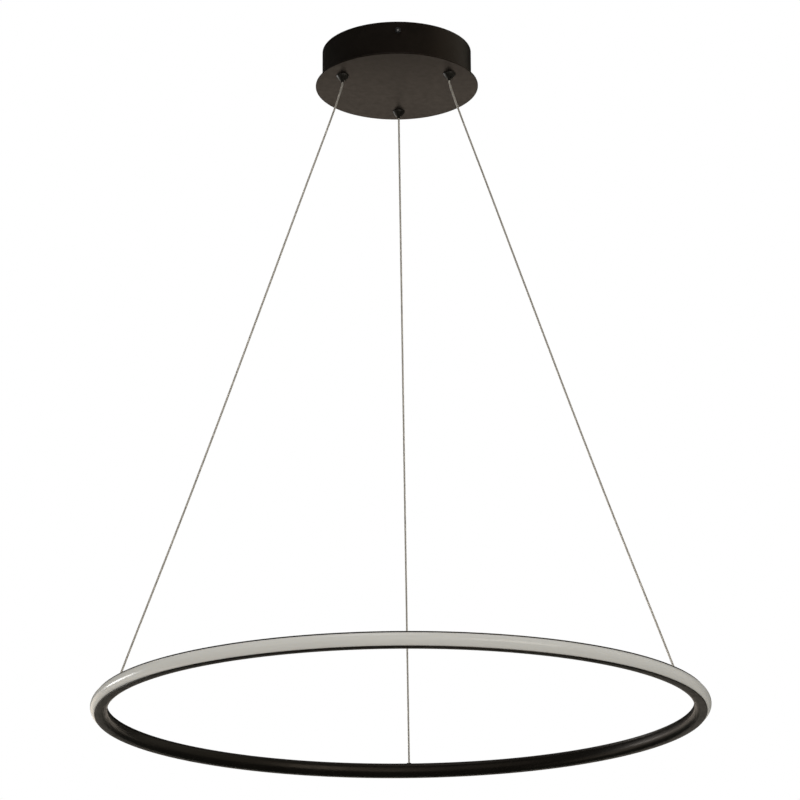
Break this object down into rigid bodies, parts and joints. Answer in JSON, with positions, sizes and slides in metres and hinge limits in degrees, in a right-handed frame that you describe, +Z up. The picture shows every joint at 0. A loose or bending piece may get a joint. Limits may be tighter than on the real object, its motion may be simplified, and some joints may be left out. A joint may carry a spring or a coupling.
{
  "type": "ring pendant light",
  "caption": "Round LED pendant: a slim ring with an outward-facing opal light strip, hung on thin cables from a drum canopy with height-locking cable grippers.",
  "frame": {"origin": "centre of the ceiling bracket's fixing slots, on the ceiling plane", "axes": "+Z up into the ceiling; +Y towards the single far cable; the two near cables are on the -Y side"},
  "size_m": [0.5998, 0.5998, 0.7044],
  "materials": {
    "canopy_black": "satin black powder coat",
    "gripper_black": "gloss black enamel",
    "bracket_zinc": "bright zinc plate",
    "screw_black": "black zinc, semi-gloss",
    "fastener_zinc": "bright zinc plate",
    "nickel_brass": "nickel plated",
    "spring_steel": "bright drawn wire",
    "ring_black": "satin black powder coat",
    "diffuser_opal": "satin opal silicone",
    "strip_white": "white solder mask",
    "led_phosphor": "yellow phosphor lens",
    "cable_steel": "stranded steel under a clear coat",
    "bush_black": "moulded black nylon",
    "driver_white": "moulded white plastic",
    "board_green": "green solder mask",
    "ferrite_grey": "ferrite and yellow tape",
    "capacitor_sleeve": "shrink sleeve",
    "terminal_white": "translucent white nylon",
    "wire_brown": "brown wire cover",
    "wire_blue": "blue wire cover",
    "wire_earth": "green and yellow wire cover",
    "wire_red": "red wire cover",
    "wire_black": "black wire cover",
    "splice_sleeve": "black shrink sleeve",
    "pad_foam": "adhesive foam"
  },
  "bodies": {
    "canopy": {"ceiling_bracket": "bracket_zinc", "canopy_side_screws": "screw_black", "canopy_shell": "canopy_black", "canopy_plate": "canopy_black", "mounting_pads": "pad_foam", "gripper_washers": "fastener_zinc", "gripper_nuts": "fastener_zinc", "splice_tubes": "splice_sleeve", "driver_case": "driver_white", "driver_cover": "driver_white", "driver_board": "board_green", "driver_transformer": "ferrite_grey", "driver_capacitors": "capacitor_sleeve", "driver_choke": "ferrite_grey", "terminal_block": "terminal_white", "terminal_screws": "fastener_zinc", "mains_wire_live": "wire_brown", "mains_wire_neutral": "wire_blue", "output_wire_positive": "wire_red", "output_wire_negative": "wire_black", "earth_stud": "fastener_zinc", "earth_nut": "fastener_zinc", "earth_lug": "nickel_brass", "earth_wire": "wire_earth", "gripper_body_1": "gripper_black", "gripper_cap_1": "nickel_brass", "gripper_spring_1": "spring_steel", "suspension_cable_1": "cable_steel", "cable_tail_1": "cable_steel", "gripper_body_2": "gripper_black", "gripper_cap_2": "nickel_brass", "gripper_spring_2": "spring_steel", "suspension_cable_2": "cable_steel", "cable_tail_2": "cable_steel", "gripper_body_3": "gripper_black", "gripper_cap_3": "nickel_brass", "gripper_spring_3": "spring_steel", "suspension_cable_3": "cable_steel", "cable_tail_3": "cable_steel"},
    "ring": {"ring_profile": "ring_black", "diffuser": "diffuser_opal", "led_strip": "strip_white", "led_chips": "led_phosphor", "strip_lead_negative": "wire_black", "strip_lead_positive": "wire_red", "cable_bush_1": "bush_black", "cable_end_1": "nickel_brass", "cable_bush_2": "bush_black", "cable_end_2": "nickel_brass", "cable_bush_3": "bush_black", "cable_end_3": "nickel_brass"},
    "release_1": {"release_pin_1": "gripper_black", "lock_balls_1": "spring_steel"},
    "release_2": {"release_pin_2": "gripper_black", "lock_balls_2": "spring_steel"},
    "release_3": {"release_pin_3": "gripper_black", "lock_balls_3": "spring_steel"}
  },
  "joints": [
    {"name": "ring_height", "type": "slide", "parent": "canopy", "child": "ring", "axis": [0, 0, 1], "range_m": [0, 0.35], "deforming": ["suspension_cable_1", "suspension_cable_2", "suspension_cable_3"]},
    {"name": "release_1_press", "type": "slide", "parent": "canopy", "child": "release_1", "axis": [0, 0, 1], "range_m": [0, 0.0018], "stiffness_N_per_m": 400, "springref_m": -0.002, "deforming": ["gripper_spring_1"]},
    {"name": "release_2_press", "type": "slide", "parent": "canopy", "child": "release_2", "axis": [0, 0, 1], "range_m": [0, 0.0018], "stiffness_N_per_m": 400, "springref_m": -0.002, "deforming": ["gripper_spring_2"]},
    {"name": "release_3_press", "type": "slide", "parent": "canopy", "child": "release_3", "axis": [0, 0, 1], "range_m": [0, 0.0018], "stiffness_N_per_m": 400, "springref_m": -0.002, "deforming": ["gripper_spring_3"]}
  ]
}
